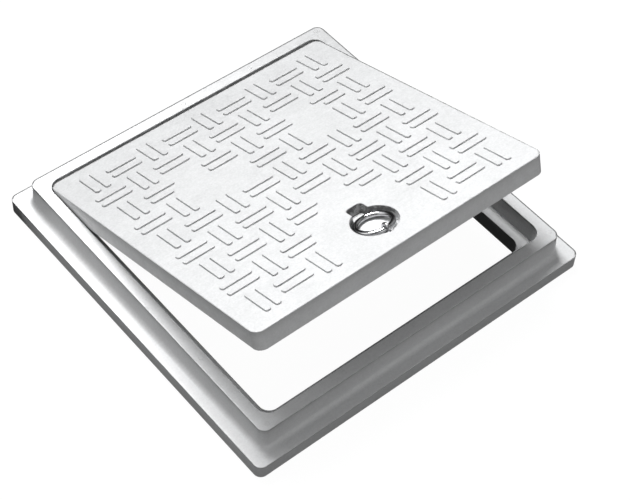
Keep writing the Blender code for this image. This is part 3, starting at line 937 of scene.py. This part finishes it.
def composite(name, grey, flow_deg, axes, top_shade, left_shade, front_shade):
    """Compression-moulded glass-fibre composite: clouded, with faint fibre marks and fine grain.

    Painted shade lies on the faces that look up in the part's own axes, on the left side at its
    back end and on the front side; below zero each is painted light.
    """
    graph = Graph(name)
    right, back, up = Matrix.Identity(3)
    across, start, end, least, most = top_shade

    def facing(towards, low, high, most_facing):
        return graph.spread(graph.dot(graph.normals, towards), low, high, 0.0, most_facing)

    def along(run, low, high, at_low, at_high):
        return graph.spread(graph.dot(graph.coords, run), low, high, at_low, at_high)

    # painted shade on the faces that look up
    shaded_top = graph.math("MULTIPLY", facing(axes @ up, 0.35, 0.75, 1.0),
                       along(Vector(across), start, end, least, most))
    # painted shade on the left side, towards its back end
    left_shaded = graph.math("MULTIPLY", facing(-right, 0.35, 0.75, 1.0),
                       along(back, *LEFT_SHADE_RUN, 0.0, left_shade))
    # painted light on the front side where this is below zero
    front = facing(-back, 0.5, 0.9, front_shade)
    clouds = graph.noise(9.0, 4.0, 0.55, 0.4)
    mottle = graph.noise(60.0, 3.0, 0.6)
    flow = graph.noise(1.0, 3.0, 0.6, 0.6, graph.stretched((30.0, 160.0, 60.0), flow_deg))
    fibres = graph.noise(1.0, 2.0, 0.5, 0.2, graph.stretched((90.0, 900.0, 300.0), flow_deg + 63.0))
    flecks = graph.noise(260.0, 2.0, 0.6)
    grain = graph.noise(900.0, 2.0, 0.6)
    specks = graph.spread(graph.noise(420.0, 1.0, 0.4), 0.66, 0.72, 0.0, 1.0)
    # wear and painted light make it lighter; painted shade makes it darker, and below zero it is painted
    # light
    wear = graph.math("MULTIPLY", graph.painted("wear"), graph.spread(mottle, 0.35, 0.65, 0.2, 1.0))
    painted_shade = graph.math("MULTIPLY", graph.painted("painted_shade"), graph.spread(mottle, 0.3, 0.7, 0.6, 1.0))
    shade = graph.total(
        graph.spread(clouds, 0.3, 0.7, 0.475, 0.525),
        graph.spread(mottle, 0.3, 0.7, -0.02, 0.02),
        graph.spread(flow, 0.35, 0.65, -0.012, 0.012),
        graph.spread(fibres, 0.35, 0.65, -0.012, 0.012),
        graph.spread(flecks, 0.3, 0.7, -0.045, 0.045),
        graph.math("MULTIPLY", specks, -0.05),
        graph.math("MULTIPLY", wear, 0.12),
        graph.math("MULTIPLY", painted_shade, -0.25),
        graph.math("MULTIPLY", graph.total(shaded_top, left_shaded, front), -1.0),
    )
    colour = graph.ramp(shade, (0.0, tint(grey, 0.18)), (0.08, tint(grey, 0.54)), (0.5, grey),
                        (1.0, tint(grey, 1.45)))
    roughness = graph.total(
        graph.spread(clouds, 0.3, 0.7, 0.37, 0.41),
        graph.spread(mottle, 0.3, 0.7, -0.02, 0.02),
        graph.math("MULTIPLY", wear, -0.05),
        graph.math("MULTIPLY", painted_shade, 0.16),
    )
    relief = graph.total(
        graph.math("MULTIPLY", grain, 0.5),
        graph.math("MULTIPLY", fibres, 0.35),
        graph.math("MULTIPLY", mottle, 0.6),
    )
    normal = graph.bump(relief, 0.35, 0.15 * MM)
    return graph.finish(colour, roughness, normal, IOR=1.5, Specular_IOR_Level=0.5)


def polished_steel(name):
    """Bright steel with fine scratches and slightly duller patches."""
    graph = Graph(name)
    patches = graph.noise(120.0, 3.0, 0.5)
    scratches = graph.noise(1.0, 3.0, 0.7, 0.3, graph.stretched((300.0, 2600.0, 900.0), 24.0))
    colour = graph.ramp(patches, (0.25, (0.36, 0.36, 0.37)), (0.75, (0.52, 0.52, 0.53)))
    roughness = graph.total(
        graph.spread(patches, 0.3, 0.7, 0.07, 0.11), graph.spread(scratches, 0.4, 0.7, 0.0, 0.05))
    normal = graph.bump(scratches, 0.25, 0.03 * MM)
    return graph.finish(colour, roughness, normal, Metallic=1.0)


def zinc_steel(name):
    """Zinc-plated steel: matt, with cloudy grey patches."""
    graph = Graph(name)
    patches = graph.noise(260.0, 4.0, 0.6, 0.5)
    grain = graph.noise(2500.0, 2.0, 0.5)
    colour = graph.ramp(patches, (0.3, (0.42, 0.43, 0.45)), (0.7, (0.60, 0.61, 0.62)))
    roughness = graph.spread(patches, 0.3, 0.7, 0.30, 0.42)
    normal = graph.bump(grain, 0.3, 0.03 * MM)
    return graph.finish(colour, roughness, normal, Metallic=1.0)


def pale_floor(name):
    graph = Graph(name)
    cloud = graph.noise(1.5, 2.0, 0.5)
    colour = graph.ramp(cloud, (0.0, (0.035, 0.035, 0.035)), (1.0, (0.04, 0.04, 0.04)))
    graph.join(colour, graph.shader.inputs["Base Color"])
    graph.shader.inputs["Roughness"].default_value = 0.9
    graph.shader.inputs["Specular IOR Level"].default_value = 0.0
    graph.shader.inputs["Emission Color"].default_value = (1.0, 1.0, 1.0, 1.0)
    graph.shader.inputs["Emission Strength"].default_value = 0.97
    return graph.material


# ---------------------------------------------------------------- stage

def build_floor():
    """A pale floor that the camera sees, and that throws no light on the object."""
    shell = Shell()
    reach = FLOOR_REACH
    shell.cap(shell.level([(-reach, -reach), (reach, -reach), (reach, reach), (-reach, reach)], 0.0))
    floor = shell.object("floor")
    floor.location.z = -0.5 * MM
    floor.data.materials.append(pale_floor("pale_floor"))
    floor.visible_diffuse = False
    floor.visible_glossy = False


def build_backdrop():
    """A white dome, seen by the camera only, so that the horizon is as pale as the floor."""
    shell = Shell()
    steps = 15
    rings = []
    for step in range(steps):
        angle = math.radians(90.0 * step / steps)
        outline = circle(0.0, 0.0, DOME_RADIUS * math.cos(angle), 72)
        rings.append(shell.level(outline, DOME_RADIUS * math.sin(angle)))
    shell.stack(rings)
    shell.cap(rings[-1])
    dome = shell.object("backdrop")
    dome.location.z = -1.0 * MM
    graph = Graph("backdrop")
    graph.shader.inputs["Base Color"].default_value = (0.0, 0.0, 0.0, 1.0)
    graph.shader.inputs["Emission Color"].default_value = (1.0, 1.0, 1.0, 1.0)
    graph.shader.inputs["Emission Strength"].default_value = 1.0
    dome.data.materials.append(graph.material)
    dome.visible_diffuse = False
    dome.visible_glossy = False
    dome.visible_shadow = False


def build_world():
    """A dim studio with soft bright patches, as large diffusers would give."""
    world = bpy.data.worlds.new("soft_studio")
    world.use_nodes = True
    tree = world.node_tree
    coords = tree.nodes.new("ShaderNodeTexCoord").outputs["Generated"]
    background = tree.nodes["Background"]

    def math_node(operation, first, second):
        node = tree.nodes.new("ShaderNodeMath")
        node.operation = operation
        tree.links.new(first, node.inputs[0])
        if isinstance(second, float):
            node.inputs[1].default_value = second
        else:
            tree.links.new(second, node.inputs[1])
        return node.outputs[0]

    total = None
    for azimuth, elevation, narrowness, strength in SKY_LOBES:
        facing = tree.nodes.new("ShaderNodeVectorMath")
        facing.operation = "DOT_PRODUCT"
        facing.inputs[1].default_value = direction(azimuth, elevation)
        tree.links.new(coords, facing.inputs[0])
        lobe = math_node("MAXIMUM", facing.outputs["Value"], 0.0)
        lobe = math_node("MULTIPLY", math_node("POWER", lobe, narrowness), strength)
        total = math_node("ADD", lobe, SKY_GLOW) if total is None else math_node("ADD", total, lobe)
    tree.links.new(total, background.inputs["Strength"])
    background.inputs["Color"].default_value = (1.0, 1.0, 1.0, 1.0)
    bpy.context.scene.world = world


def direction(azimuth_deg, elevation_deg):
    """From the object towards a viewer or lamp; azimuth 0 is in front, at -Y."""
    azimuth, elevation = math.radians(azimuth_deg), math.radians(elevation_deg)
    return Vector((math.sin(azimuth) * math.cos(elevation),
                   -math.cos(azimuth) * math.cos(elevation), math.sin(elevation)))


def build_lights():
    for name, azimuth, elevation, distance, size, power in LIGHTS:
        lamp = bpy.data.lights.new(name, "AREA")
        lamp.shape, lamp.size, lamp.energy = "DISK", size, power
        item = bpy.data.objects.new(name, lamp)
        bpy.context.scene.collection.objects.link(item)
        towards = direction(azimuth, elevation)
        item.location = towards * distance
        item.rotation_euler = towards.to_track_quat("Z", "Y").to_euler()


def build_camera():
    back = direction(CAMERA_AZIMUTH, CAMERA_ELEVATION)
    right = (-back).cross(Vector((0.0, 0.0, 1.0))).normalized()
    up = right.cross(-back)
    roll = math.radians(CAMERA_ROLL)
    axis_x = math.cos(roll) * right + math.sin(roll) * up
    axis_y = math.cos(roll) * up - math.sin(roll) * right
    camera = bpy.data.objects.new("camera", bpy.data.cameras.new("camera"))
    bpy.context.scene.collection.objects.link(camera)
    camera.data.lens = LENS
    camera.data.clip_end = 50.0
    turn = Matrix((axis_x, axis_y, back)).transposed().to_4x4()
    camera.matrix_world = Matrix.Translation(CAMERA_TARGET + CAMERA_DISTANCE * back) @ turn
    bpy.context.scene.camera = camera


def main():
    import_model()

    axis_y = COVER_HALF - AXIS_INSET
    axis = Matrix.Translation((0.0, axis_y, COVER_TOP_Z - AXIS_DEPTH))
    tilt = Matrix.Rotation(math.radians(TILT_DEG), 4, "X")
    cover_axes = axis @ tilt @ Matrix.Translation((0.0, -axis_y, AXIS_DEPTH))

    frame_material = composite("frame_composite", FRAME_GREY, FRAME_FLOW_DEG, Matrix.Identity(3),
                               FRAME_TOP_SHADE, FRAME_LEFT_SHADE, 0.0)
    cover_material = composite("cover_composite", COVER_GREY, COVER_FLOW_DEG, tilt.to_3x3(),
                               COVER_TOP_SHADE, 0.0, COVER_FRONT_SHADE)
    bright = polished_steel("polished_steel")
    zinc = zinc_steel("zinc_steel")

    finish_piece(build_frame(), frame_material, "frame", "frame")
    finish_piece(build_cover(cover_axes), cover_material, "cover", "cover")
    finish_piece(build_lifting_ring(cover_axes), bright, "ring", "lifting_ring")
    finish_piece(build_eye_bolt(cover_axes), bright, "cover", "eye_bolt")
    finish_piece(build_plain_washer(cover_axes), zinc, "cover", "plain_washer")
    finish_piece(build_spring_washer(cover_axes), zinc, "cover", "spring_washer")
    finish_piece(build_nut(cover_axes), zinc, "cover", "hex_nut")

    build_floor()
    build_backdrop()
    build_world()
    build_lights()
    build_camera()
    bpy.context.scene.view_settings.view_transform = "Standard"


main()
